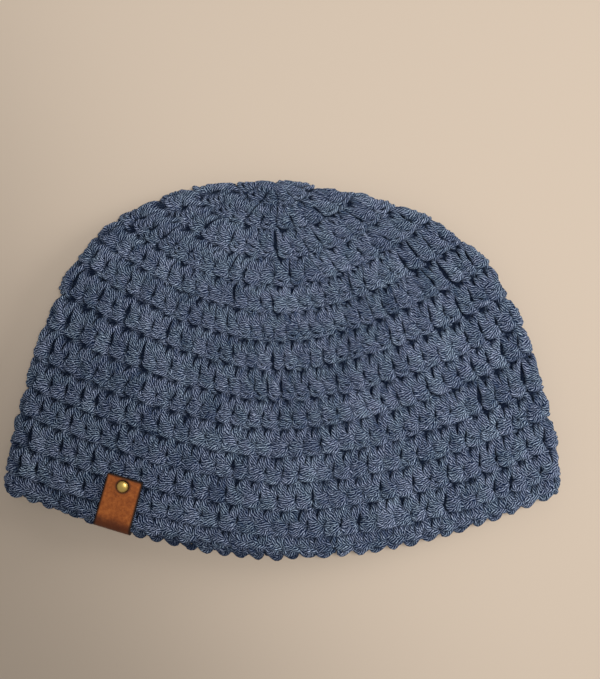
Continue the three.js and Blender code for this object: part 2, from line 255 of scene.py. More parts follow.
slope_x = (tag_wall(8, 2, 0.5)[2] - tag_wall(-8, 2, 0.5)[2]) / 16
slope_y = (tag_wall(0, 11, 0.5)[2] - tag_wall(0, -7, 0.5)[2]) / 18
TAG_AX = np.array([*TAG_ACROSS, slope_x])
TAG_AX /= np.linalg.norm(TAG_AX)
TAG_AZ = np.cross(TAG_AX, np.array([*TAG_UP, slope_y]))
TAG_AZ /= np.linalg.norm(TAG_AZ)
TAG_AXES = np.stack([TAG_AX, np.cross(TAG_AZ, TAG_AX), TAG_AZ])
TAG_ORIGIN = np.array([TAG_X, TAG_Y, tag_wall(0, 2, 0.5)[2] - 2 * slope_y])
tops = [[(TAG_AXES @ (tag_wall(f * TAG_WIDTH, u, d) - TAG_ORIGIN))[2] for f in (-0.5, -0.25, 0, 0.25, 0.5) for u in np.arange(-8, TAG_LEAF / 2 + 0.01, 2)] for d in (0, 1)]
LEAF_UNDER = max(tops[0]) + GAP
LEAF_INNER = min(tops[1]) - GAP
TAG_ORIGIN = TAG_ORIGIN - np.array([CENTRE_X, CENTRE_Y, 0])
BEND_R, BEND_MID = (LEAF_UNDER - LEAF_INNER) / 2, (LEAF_UNDER + LEAF_INNER) / 2
BEND_Y = -TAG_LEAF / 2 + TAG_THICK + BEND_R


def soft_below(x, limit, give=0.7):
    over = x - (limit - give)
    return np.where(over > 0, limit - give * np.exp(-np.maximum(over, 0) / give), x)


def press_under_tag(v):
    """Yarn inside the fold of the tag lies squeezed between its two leaves."""
    q = (v - TAG_ORIGIN) @ TAG_AXES.T
    near = (np.abs(q[:, 0]) < TAG_WIDTH / 2 + 3) & (q[:, 1] > -TAG_LEAF / 2 - 6) & (q[:, 1] < TAG_LEAF / 2 + 3) & (v[:, 2] > 7)
    s = q[near]
    out = np.maximum(np.maximum(np.abs(s[:, 0]) - TAG_WIDTH / 2, s[:, 1] - TAG_LEAF / 2), 0)
    s[:, 2] = soft_below(s[:, 2], LEAF_UNDER - 0.08 + 1.3 * out)
    s[:, 2] = -soft_below(-s[:, 2], -LEAF_INNER - 0.08 + 1.3 * out)
    s[:, 1] = -soft_below(-s[:, 1], TAG_LEAF / 2 - TAG_THICK - 0.5 + 2 * out)
    v = v.copy()
    v[near] = s @ TAG_AXES + TAG_ORIGIN
    return v


# ------------------------------------------------------------------ yarn
PLY_TURN = 6.2  # mm of yarn to a full turn of its five plies
SIDES = 8


def spline(ctrl, n):
    """Points at even lengths on a curve through the control points: (stitches, points, 4) to (stitches, n, 4)."""
    c = np.concatenate([2 * ctrl[:, :1] - ctrl[:, 1:2], ctrl, 2 * ctrl[:, -1:] - ctrl[:, -2:-1]], 1)
    per = 8
    t = np.arange(per)[None, None, :, None] / per
    a, b, d, e = (c[:, i : c.shape[1] - 3 + i, None] for i in range(4))
    fine = b + t / 2 * (d - a + t * (2 * a - 5 * b + 4 * d - e + t * (3 * (b - d) + e - a)))
    fine = np.concatenate([fine.reshape(len(c), -1, c.shape[2]), ctrl[:, -1:]], 1)
    step = np.linalg.norm(np.diff(fine[..., :3], axis=1), axis=2)
    along = np.concatenate([np.zeros((len(c), 1)), np.cumsum(step, 1)], 1)
    want = np.linspace(0, 1, n)[None] * along[:, -1:]
    out = np.empty((len(c), n, c.shape[2]))
    for i in range(len(c)):
        j = np.clip(np.searchsorted(along[i], want[i], side="right") - 1, 0, fine.shape[1] - 2)
        f = ((want[i] - along[i, j]) / np.maximum(along[i, j + 1] - along[i, j], 1e-9))[:, None]
        out[i] = fine[i, j] * (1 - f) + fine[i, j + 1] * f
    return out


class Mesh:
    """Joined tubes: vertices in mm, quads and end faces, with yarn attributes."""

    def __init__(self):
        self.v, self.quads, self.ends, self.ply, self.tone, self.depth, self.count = [], [], [], [], [], [], 0

    def tubes(self, path, normal, radius, tone, sides=SIDES, seed=0):
        """path (m, n, 4) of m strands, place and height; normal (m, 3) out of the fabric; radius and tone per strand."""
        m, n = path.shape[:2]
        high, path = path[..., 3], path[..., :3]
        rng = np.random.default_rng(seed)
        tan = np.gradient(path, axis=1)
        tan /= np.maximum(np.linalg.norm(tan, axis=2, keepdims=True), 1e-9)
        ref = np.empty_like(path)
        r = normal - (normal * tan[:, 0]).sum(1, keepdims=True) * tan[:, 0]
        r /= np.maximum(np.linalg.norm(r, axis=1, keepdims=True), 1e-9)
        ref[:, 0] = r
        for i in range(n - 1):
            v1 = path[:, i + 1] - path[:, i]
            c1 = np.maximum((v1 * v1).sum(1, keepdims=True), 1e-12)
            rl = ref[:, i] - 2 / c1 * (v1 * ref[:, i]).sum(1, keepdims=True) * v1
            tl = tan[:, i] - 2 / c1 * (v1 * tan[:, i]).sum(1, keepdims=True) * v1
            v2 = tan[:, i + 1] - tl
            c2 = (v2 * v2).sum(1, keepdims=True)
            r = np.where(c2 > 1e-9, rl - 2 / np.maximum(c2, 1e-9) * (v2 * rl).sum(1, keepdims=True) * v2, rl)
            r = r - (r * tan[:, i + 1]).sum(1, keepdims=True) * tan[:, i + 1]
            ref[:, i + 1] = r / np.maximum(np.linalg.norm(r, axis=1, keepdims=True), 1e-9)
        bi = np.cross(tan, ref)
        step = np.linalg.norm(np.diff(path, axis=1), axis=2)
        along = np.concatenate([np.zeros((m, 1)), np.cumsum(step, 1)], 1) + rng.uniform(0, 60, (m, 1))
        base = 2 * math.pi * np.arange(sides) / sides
        c, s = np.cos(base), np.sin(base)
        rad = np.asarray(radius).reshape(-1, 1, 1, 1)
        out = (c[:, None] * ref[:, :, None] + s[:, None] * bi[:, :, None]) * rad
        v = path[:, :, None] + out
        stand = high[..., None] + (out * normal[:, None, None]).sum(3)
        # how far a point stands out of the fabric, mirrored for the inside; it sets the painted shade between the
        # strands
        self.depth.append(np.maximum(stand, -stand - 0.6).reshape(-1))
        idx = self.count + np.arange(m * n * sides).reshape(m, n, sides)
        nxt = np.roll(idx, -1, 2)
        self.quads.append(np.stack([idx[:, :-1], nxt[:, :-1], nxt[:, 1:], idx[:, 1:]], -1).reshape(-1, 4))
        self.ends.append(np.concatenate([idx[:, 0, ::-1], idx[:, -1]], 0))
        self.v.append(v.reshape(-1, 3))
        ply = np.stack([np.broadcast_to(c, v.shape[:3]), np.broadcast_to(s, v.shape[:3]), np.broadcast_to(along[..., None], v.shape[:3])], -1)
        self.ply.append(ply.reshape(-1, 3))
        self.tone.append(np.broadcast_to(np.asarray(tone).reshape(-1, 1, 1), v.shape[:3]).reshape(-1))
        self.count += m * n * sides
        return self

    def build(self, name, material, press=False):
        v = np.concatenate(self.v)
        if press:
            v = press_under_tag(v)
        z = v[:, 2]
        v[:, 2] = np.where(z < 0.7, 0.08 + 0.62 * np.exp((np.minimum(z, 0.7) - 0.7) / 0.62), z)
        return build_mesh(name, v, self.quads + self.ends, material, {"ply": np.concatenate(self.ply), "tone": np.concatenate(self.tone), "depth": np.concatenate(self.depth)})


TRIANGLES = {}


def build_mesh(name, v, faces, material, attributes):
    """A smooth mesh object from vertices in mm, lists of faces of equal size, and point attributes."""
    flat = np.concatenate([f.reshape(-1) for f in faces])
    sizes = np.concatenate([np.full(len(f), f.shape[1]) for f in faces])
    me = bpy.data.meshes.new(name)
    me.vertices.add(len(v))
    me.vertices.foreach_set("co", (v * MM).astype(np.float32).reshape(-1))
    me.loops.add(len(flat))
    me.loops.foreach_set("vertex_index", flat.astype(np.int32))
    me.polygons.add(len(sizes))
    me.polygons.foreach_set("loop_start", np.concatenate([[0], np.cumsum(sizes)[:-1]]).astype(np.int32))
    me.polygons.foreach_set("loop_total", sizes.astype(np.int32))
    me.polygons.foreach_set("use_smooth", np.ones(len(sizes), bool))
    me.update(calc_edges=True)
    for key, values in attributes.items():
        vector = values.ndim == 2
        a = me.attributes.new(key, "FLOAT_VECTOR" if vector else "FLOAT", "POINT")
        a.data.foreach_set("vector" if vector else "value", values.astype(np.float32).reshape(-1))
    me.materials.append(material)
    ob = bpy.data.objects.new(name, me)
    scene.collection.objects.link(ob)
    TRIANGLES[name] = int((sizes - 2).sum())
    return ob


# ------------------------------------------------------------------ materials
def new_material(name):
    mat = bpy.data.materials.new(name)
    mat.use_nodes = True
    nt = mat.node_tree
    for n in list(nt.nodes):
        nt.nodes.remove(n)
    out = nt.nodes.new("ShaderNodeOutputMaterial")
    bsdf = nt.nodes.new("ShaderNodeBsdfPrincipled")
    nt.links.new(bsdf.outputs[0], out.inputs[0])
    return mat, nt, bsdf


def node(nt, kind, **values):
    n = nt.nodes.new(kind)
    for key, value in values.items():
        if key.startswith("in_"):
            k = key[3:]
            n.inputs[int(k) if k.isdigit() else k.replace("_", " ")].default_value = value
        else:
            setattr(n, key, value)
    return n


def math_node(nt, op, a, b=None, clamp=False):
    n = nt.nodes.new("ShaderNodeMath")
    n.operation = op
    n.use_clamp = clamp
    for i, x in enumerate((a, b)):
        if x is None:
            continue
        if isinstance(x, (int, float)):
            n.inputs[i].default_value = x
        else:
            nt.links.new(x, n.inputs[i])
    return n.outputs[0]


def total(nt, *terms):
    """The sum of (input, weight) pairs and plain numbers."""
    out = None
    for t in terms:
        t = math_node(nt, "MULTIPLY", t[0], t[1]) if isinstance(t, tuple) else t
        out = t if out is None else math_node(nt, "ADD", out, t)
    return out


def ramp(nt, factor, stops):
    n = nt.nodes.new("ShaderNodeValToRGB")
    el = n.color_ramp.elements
    while len(el) > 1:
        el.remove(el[-1])
    el[0].position, el[0].color = stops[0][0], (*stops[0][1], 1)
    for pos, col in stops[1:]:
        e = el.new(pos)
        e.color = (*col, 1)
    nt.links.new(factor, n.inputs[0])
    return n.outputs[0]


def mix_colour(nt, factor, a, b, blend="MIX"):
    n = nt.nodes.new("ShaderNodeMix")
    n.data_type = "RGBA"
    n.blend_type = blend
    for socket, x in ((n.inputs[0], factor), (n.inputs[6], a), (n.inputs[7], b)):
        if isinstance(x, (int, float)):
            socket.default_value = x
        elif isinstance(x, tuple):
            socket.default_value = (*x, 1)
        else:
            nt.links.new(x, socket)
    return n.outputs[2]


def span(nt, x, low, high, out_low=0.0, out_high=1.0):
    n = nt.nodes.new("ShaderNodeMapRange")
    n.interpolation_type = "SMOOTHSTEP"
    nt.links.new(x, n.inputs[0])
    for i, value in enumerate((low, high, out_low, out_high)):
        n.inputs[i + 1].default_value = value
    return n.outputs[0]


def yarn_material(name, dark, mid, light):
    mat, nt, bsdf = new_material(name)
    ply = node(nt, "ShaderNodeAttribute", attribute_name="ply")
    tone = node(nt, "ShaderNodeAttribute", attribute_name="tone")
    sep = nt.nodes.new("ShaderNodeSeparateXYZ")
    nt.links.new(ply.outputs["Vector"], sep.inputs[0])
    c, s, along = sep.outputs
    slow = nt.nodes.new("ShaderNodeCombineXYZ")
    for i, w in enumerate((0.7, 0.7, 0.9)):
        nt.links.new(math_node(nt, "MULTIPLY", (c, s, along)[i], w), slow.inputs[i])
    wander = node(nt, "ShaderNodeTexNoise", in_Scale=1.0, in_Detail=1.0)
    nt.links.new(slow.outputs[0], wander.inputs["Vector"])
    # the plies wind round the strand's axis: the turn of a ply is the same all along it
    turn = total(nt, math_node(nt, "ARCTAN2", s, c), (along, 2 * math.pi / PLY_TURN), (wander.outputs[0], 1.6))
    ridge = total(nt, (math_node(nt, "COSINE", math_node(nt, "MULTIPLY", turn, 5.0)), 0.5), 0.5)
    # the ply crests made light and the grooves between them dark: painted highlight and painted shade
    painted_ply_shading = math_node(nt, "POWER", ridge, 1.5)
    comb = nt.nodes.new("ShaderNodeCombineXYZ")
    nt.links.new(math_node(nt, "MULTIPLY", math_node(nt, "COSINE", turn), 2.6), comb.inputs[0])
    nt.links.new(math_node(nt, "MULTIPLY", math_node(nt, "SINE", turn), 2.6), comb.inputs[1])
    nt.links.new(math_node(nt, "MULTIPLY", along, 1.05), comb.inputs[2])
    fibre = node(nt, "ShaderNodeTexNoise", in_Scale=1.0, in_Detail=3.0, in_Roughness=0.7)
    nt.links.new(comb.outputs[0], fibre.inputs["Vector"])
    tex = nt.nodes.new("ShaderNodeTexCoord")
    patch = node(nt, "ShaderNodeTexNoise", in_Scale=45.0, in_Detail=2.0)
    nt.links.new(tex.outputs["Object"], patch.inputs["Vector"])
    blotch = node(nt, "ShaderNodeTexNoise", in_Scale=140.0, in_Detail=1.0)
    nt.links.new(tex.outputs["Object"], blotch.inputs["Vector"])
    # colour from the plies (painted shade in their grooves, painted highlight on their crests), fibre, strand and a
    # slow patchiness
    f = total(nt, (painted_ply_shading, 1.02), (fibre.outputs[0], 1.50), (tone.outputs["Fac"], 0.34), (patch.outputs[0], 0.20), -1.22)
    f = math_node(nt, "MAXIMUM", f, 0.0)
    col = ramp(nt, f, [(0.0, dark), (0.42, mid), (1.0, light)])
    tint = mix_colour(nt, span(nt, blotch.outputs[0], 0.35, 0.7), (1.04, 0.985, 1.03), (0.97, 1.01, 0.98))
    col = mix_colour(nt, 1.0, col, tint, "MULTIPLY")
    # painted shade: yarn that lies deep between the strands is darkened towards the dark colour
    depth = node(nt, "ShaderNodeAttribute", attribute_name="depth")
    painted_crevice_shade = span(nt, depth.outputs["Fac"], 0.0, 2.5, 1.0, 0.0)
    col = mix_colour(nt, math_node(nt, "MULTIPLY", painted_crevice_shade, 0.85), col, dark)
    nt.links.new(col, bsdf.inputs["Base Color"])
    h = total(nt, (ridge, 1.0), (fibre.outputs[0], 0.7))
    bump = node(nt, "ShaderNodeBump", in_Strength=0.85, in_Distance=0.0004)
    nt.links.new(h, bump.inputs["Height"])
    nt.links.new(bump.outputs[0], bsdf.inputs["Normal"])
    nt.links.new(span(nt, fibre.outputs[0], 0.2, 0.8, 0.78, 0.98), bsdf.inputs["Roughness"])
    bsdf.inputs["Sheen Weight"].default_value = 0.22
    bsdf.inputs["Sheen Roughness"].default_value = 0.45
    bsdf.inputs["Sheen Tint"].default_value = (0.42, 0.62, 1.0, 1)
    bsdf.inputs["Specular IOR Level"].default_value = 0.06
    return mat


YARN = yarn_material("yarn", (0.006, 0.015, 0.048), (0.066, 0.111, 0.206), (0.60, 0.73, 0.95))
# a very dark yarn for the sheet inside the fabric: painted shade in the gaps between the strands
SHADE_SHEET = yarn_material("yarn_painted_shade_sheet", (0.007, 0.013, 0.034), (0.016, 0.028, 0.062), (0.04, 0.062, 0.115))

# ------------------------------------------------------------------ stitches
# A strand's radius (mm), rings and tone, then its places: across the stitch, down the round, height (mm)
STRANDS = {
    # the legs, fanned out below the hole of the round above
    "leg_1": (1.12, 6, -0.03, [(-0.46, -0.01, 0.1), (-0.41, 0.10, 1.4), (-0.35, 0.26, 1.8), (-0.30, 0.42, 1.5), (-0.285, 0.55, 0.4)]),
    "leg_2": (1.08, 5, 0.0, [(-0.19, 0.08, -1.5), (-0.18, 0.18, 1.2), (-0.12, 0.31, 2.0), (-0.08, 0.47, 1.5)]),
    "leg_3": (1.08, 5, 0.0, [(0.19, 0.08, -1.5), (0.17, 0.18, 1.3), (0.14, 0.31, 2.0), (0.13, 0.47, 1.5)]),
    "leg_4": (1.12, 6, 0.0, [(0.46, -0.01, 0.1), (0.42, 0.10, 1.4), (0.37, 0.26, 1.8), (0.315, 0.42, 1.5), (0.295, 0.55, 0.4)]),
    # the wraps across the post, each lower one further round the foot of the stitch
    "wrap_1": (1.10, 7, 0.05, [(-0.285, 0.36, -0.9), (-0.265, 0.39, 1.2), (-0.06, 0.46, 2.0), (0.15, 0.54, 2.1), (0.285, 0.60, 1.2), (0.30, 0.64, -0.6)]),
    "wrap_2": (1.10, 8, 0.02, [(-0.305, 0.45, -0.6), (-0.29, 0.50, 1.3), (-0.10, 0.59, 2.0), (0.12, 0.66, 2.1), (0.29, 0.71, 1.5), (0.34, 0.74, 0.2)]),
    "wrap_3": (1.12, 8, 0.0, [(-0.31, 0.56, 0.0), (-0.34, 0.62, 1.2), (-0.20, 0.71, 1.7), (0.04, 0.77, 2.0), (0.27, 0.79, 1.8), (0.40, 0.77, 1.0), (0.44, 0.72, -0.2)]),
    "foot": (1.14, 11, 0.05, [(-0.34, 0.64, 0.0), (-0.40, 0.72, 1.2), (-0.33, 0.81, 1.6), (-0.13, 0.87, 1.8), (0.14, 0.875, 1.8), (0.35, 0.84, 1.6), (0.50, 0.83, 0.8), (0.58, 0.84, -0.8)]),
    # the chain from one hole to the next
    "chain": (1.0, 8, 0.06, [(0.17, 1.02, -1.5), (0.27, 0.98, 0.4), (0.38, 0.945, 1.2), (0.5, 0.925, 1.3), (0.62, 0.945, 1.2), (0.73, 0.98, 0.4), (0.83, 1.02, -1.5)]),
}
# the hat's inside
INNER = {
    "chain_back": (1.15, 5, 0.0, [(-0.60, 1.00, -1.6), (-0.20, 1.04, -2.0), (0.25, 1.00, -2.0), (0.60, 0.98, -1.6)]),
    "post_back": (1.3, 5, 0.0, [(0.05, 0.05, -1.5), (-0.20, 0.25, -1.8), (-0.22, 0.60, -1.9), (0.0, 0.92, -1.6)]),
    "post_back_2": (1.3, 5, 0.0, [(0.02, 0.08, -1.5), (0.26, 0.35, -1.8), (0.24, 0.70, -1.9), (0.05, 0.95, -1.6)]),
}
# the edging: single crochet with small bumps along the hem
EDGE = {
    "leg_1": (1.10, 6, -0.05, [(-0.46, 0.0, 0.3), (-0.41, 0.18, 1.2), (-0.36, 0.40, 1.4), (-0.30, 0.62, 0.8)]),
    "leg_2": (1.08, 6, 0.0, [(-0.14, 0.06, -0.7), (-0.14, 0.22, 1.2), (-0.10, 0.42, 1.6), (-0.06, 0.62, 1.0)]),
    "leg_3": (1.08, 6, 0.0, [(0.14, 0.06, -0.7), (0.16, 0.22, 1.2), (0.15, 0.42, 1.6), (0.14, 0.62, 1.0)]),
    "leg_4": (1.10, 6, 0.0, [(0.46, 0.0, 0.3), (0.43, 0.18, 1.2), (0.38, 0.40, 1.4), (0.33, 0.62, 0.8)]),
    # the top chain of the edging lies along it like a rope, one long slant to a stitch
    "loop": (1.12, 9, 0.05, [(-0.62, 0.50, 0.0), (-0.42, 0.56, 1.2), (-0.16, 0.64, 1.6), (0.12, 0.72, 1.6), (0.36, 0.80, 1.2), (0.52, 0.86, 0.2)]),
    "inner": (1.10, 8, 0.0, [(-0.50, 0.66, 0.2), (-0.30, 0.72, 1.1), (-0.04, 0.80, 1.3), (0.18, 0.86, 1.1), (0.34, 0.92, 0.2)]),
    "hem": (1.15, 11, 0.05, [(-0.38, 0.72, 0.2), (-0.31, 0.90, 0.6), (-0.19, 1.05, 0.6), (0.0, 1.12, 0.6), (0.19, 1.05, 0.6), (0.31, 0.90, 0.6), (0.38, 0.72, 0.2)]),
    "hem_in": (1.15, 9, -0.1, [(-0.36, 0.70, -0.5), (-0.24, 0.92, -0.6), (0.0, 1.04, -0.7), (0.24, 0.92, -0.6), (0.36, 0.70, -0.5)]),
    "arch_back": (1.2, 8, -0.1, [(-0.40, 0.85, -0.9), (-0.36, 0.40, -1.5), (0.0, 0.10, -1.6), (0.36, 0.40, -1.5), (0.40, 0.85, -0.9)]),
    "fill_back": (1.2, 5, -0.1, [(0.0, 0.90, -1.2), (0.0, 0.62, -1.5), (0.0, 0.35, -1.5)]),
}
LEAN = -0.32  # how far across a stitch's post stands from the one that it is worked into


def count(j):
    return min(11 * max(j, 1), 66)


def bases(j):
    """How far each stitch's base stands from its own middle, in stitches: two share a base where the round grows."""
    n = count(j)
    if j == 1 or count(j - 1) == n:
        return np.zeros(n)
    i = np.arange(n)
    s, p = i // j, i % j
    q = np.minimum(p, j - 2)
    d = (s * (j - 1) + q + 0.5) / count(j - 1) * n - (i + 0.5)
    return d - d.mean() + np.where(p == j - 2, -0.22, np.where(p == j - 1, 0.22, 0))


def start(j):
    """Where a round's first stitch stands, as a share of the whole round."""
    out = 0.0
    for i in range(2, j + 1):
        out += (LEAN + (0.0 if count(i) == count(i - 1) else 0.1)) / count(i)
    return out


def crowd(k):
    """How much closer the stitches stand at the middle of the front than at its sides."""
    return 0.12 * smoothstep(k, 3.5, 5) * (1 - smoothstep(k, 8, 9.5))


def place(j, u, v, h):
    """Stitch coordinates (stitches, points) to the form."""
    n = count(j)
    i = np.arange(n)[:, None]
    k = j - 1 + v
    across = i + 0.5 + u + bases(j)[:, None] * (1 - smoothstep(v, -0.05, 0.5))
    across = across - 0.5 * LEAN * (1 - smoothstep(v, 0, 0.3)) + 0.5 * LEAN * smoothstep(v, 0.7, 1.0)
    f = 2 * (across / n + start(j))
    a = f + crowd(k) * np.sin(2 * math.pi * f) / (2 * math.pi)
    return on_form(k, a, h)


def stitches(mesh, j, table, seed, wobble=0.034, lift=0.3, sides=SIDES):
    rng = np.random.default_rng(seed)
    n = count(j)
    shift = rng.normal(0, 0.04, (n, 1))
    grow = rng.normal(0, 0.055, (n, 1))
    high = rng.normal(0, 0.28, (n, 1))
    down = rng.normal(0, 0.02, (n, 1))
    tint = rng.normal(0.5, 0.12, n)
    # the yarn swells or is squeezed with the room that a stitch has
    ends = [place(j, np.full((n, 1), x), np.full((n, 1), 0.5), np.ones((n, 1)))[0][:, 0] for x in (-0.5, 0.0, 0.5)]
    wide = np.clip(np.linalg.norm(ends[2] - ends[0], axis=1) / 7.4, 0.82, 1.14)
    # a round begins and joins in one narrow post
    slim = np.ones((n, 1))
    if 4 < j < 13:
        off = np.abs(ends[1][:, 0] - np.interp(j, [5, 6.5, 9, 12], [-8.5, -4.0, 1.5, 6.5])) + np.where(ends[1][:, 2] < 9, 99, 0)
        slim[off.argmin()] = 0.80
    # posts stand closer in the middle of the front
    close = 0.13 * np.exp(-(((ends[1][:, 0] - 8) / 62) ** 2))[:, None] * (j < 14)
    for which, (name, (radius, rings, tone, rows)) in enumerate(table.items()):
        c = np.array(rows)
        full = 1 + close * (name[:3] in ("leg", "wra"))
        u = c[None, :, 0] * (1 + grow) * slim * full + shift + rng.normal(0, wobble, (n, len(c)))
        # and there the rounds close up as well
        reach = 0.26 if name in ("foot", "chain") else -0.36 * np.clip(1 - c[None, :, 1] / 0.25, 0, 1.1) if name[:3] == "leg" else 0.0
        v = c[None, :, 1] + down + close * reach + rng.normal(0, wobble * 0.5, (n, len(c)))
        h = c[None, :, 2] + high + rng.normal(0, lift, (n, len(c)))
        p, nor = place(j, u, v, h)
        mesh.tubes(spline(np.concatenate([p, h[..., None]], -1), rings), nor[:, 0], radius * wide * (1 + rng.normal(0, 0.035, n)), np.clip(tint + tone + rng.normal(0, 0.08, n), 0, 1), sides=sides, seed=seed * 31 + which)
    return mesh


for j in range(1, 14):
    mesh = stitches(Mesh(), j, STRANDS, 100 + j)
    stitches(mesh, j, INNER, 1000 + j, sides=5, lift=0.08)
    ob = mesh.build("round_%02d" % j, YARN, press=j > 10)
    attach(ob, "root")

edging = stitches(Mesh(), 14, EDGE, 300).build("edging", YARN, press=True)
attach(edging, "root")
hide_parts("hem_edging")


# ------------------------------------------------------------------ a dark sheet inside the fabric: painted shade seen between the strands
def painted_shade_sheet():
    ks = np.linspace(0.02, 13.75, 84)
    cols = 176
    kk, aa = np.meshgrid(ks, np.arange(cols) / cols * 2, indexing="ij")
    outer, _ = on_form(kk, aa, np.full(kk.shape, -0.05))
    inner, _ = on_form(kk, aa, np.full(kk.shape, -1.25))
    rows = np.concatenate([outer, inner[::-1]], 0)
    r = len(rows)
    idx = np.arange(r * cols).reshape(r, cols)
    nxt = np.roll(idx, -1, 1)
    m = Mesh()
    m.v = [rows.reshape(-1, 3)]
    m.quads = [np.stack([idx[:-1], idx[1:], nxt[1:], nxt[:-1]], -1).reshape(-1, 4)]
    closing = np.stack([idx[-1], idx[0], nxt[0], nxt[-1]], -1)
    m.ends = [closing]
    s = np.stack([np.cos(aa * 80), np.sin(aa * 80), kk * 13], -1)
    m.ply = [np.concatenate([s, s[::-1]], 0).reshape(-1, 3)]
    m.tone = [np.full(r * cols, 0.2)]
    m.depth = [np.full(r * cols, 1.0)]
    return m


g = painted_shade_sheet().build("fabric_painted_shade_sheet", SHADE_SHEET, press=True)
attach(g, "root")
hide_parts("crown")


# ------------------------------------------------------------------ tag
def leather_material():
    mat, nt, bsdf = new_material("tag_leather")
    at = node(nt, "ShaderNodeAttribute", attribute_name="leather")
    sep = nt.nodes.new("ShaderNodeSeparateXYZ")
    nt.links.new(at.outputs["Vector"], sep.inputs[0])
    edge, fold, rivet = sep.outputs
    tex = nt.nodes.new("ShaderNodeTexCoord")

    def noise(scale, detail, rough=0.55):
        n = node(nt, "ShaderNodeTexNoise", in_Scale=scale, in_Detail=detail, in_Roughness=rough)
        nt.links.new(tex.outputs["Object"], n.inputs["Vector"])
        return n.outputs[0]

    cloud, mottle, pore, streak = noise(160, 3), noise(620, 4, 0.65), noise(2600, 2), noise(330, 5, 0.7)
    f = total(nt, (cloud, 0.75), (mottle, 0.90), (pore, 0.40), -0.52)
    col = ramp(nt, f, [(0.0, (0.16, 0.036, 0.006)), (0.35, (0.33, 0.082, 0.015)), (0.62, (0.50, 0.140, 0.027)), (1.0, (0.72, 0.25, 0.06))])
    # darker and redder towards the fold, in patches
    bend = span(nt, total(nt, (fold, 1.0), (streak, 0.7), -0.35), 0.10, 0.95)
    col = mix_colour(nt, math_node(nt, "MULTIPLY", bend, 0.88), col, (0.100, 0.022, 0.006))
    # burnt round the cut edges; a dark ring round the rivet is painted shade of the leather's dip under the cap
    burn = span(nt, total(nt, (edge, 1.0), (mottle, -0.7), 0.25), 0.12, 1.25, 1.0, 0.0)
    col = mix_colour(nt, burn, col, (0.022, 0.009, 0.005))
    # painted shade round the rivet
    ring = span(nt, total(nt, (rivet, 1.0), (mottle, -0.4), 0.2), 3.0, 4.1, 0.85, 0.0)
    col = mix_colour(nt, ring, col, (0.07, 0.022, 0.010))
    nt.links.new(col, bsdf.inputs["Base Color"])
    bump = node(nt, "ShaderNodeBump", in_Strength=0.5, in_Distance=0.00025)
    nt.links.new(total(nt, (mottle, 0.9), (pore, 0.6), (streak, 0.5)), bump.inputs["Height"])
    nt.links.new(bump.outputs[0], bsdf.inputs["Normal"])
    nt.links.new(total(nt, (span(nt, mottle, 0.3, 0.7), 0.16), (burn, 0.25), 0.40), bsdf.inputs["Roughness"])
    bsdf.inputs["Specular IOR Level"].default_value = 0.3
    return mat


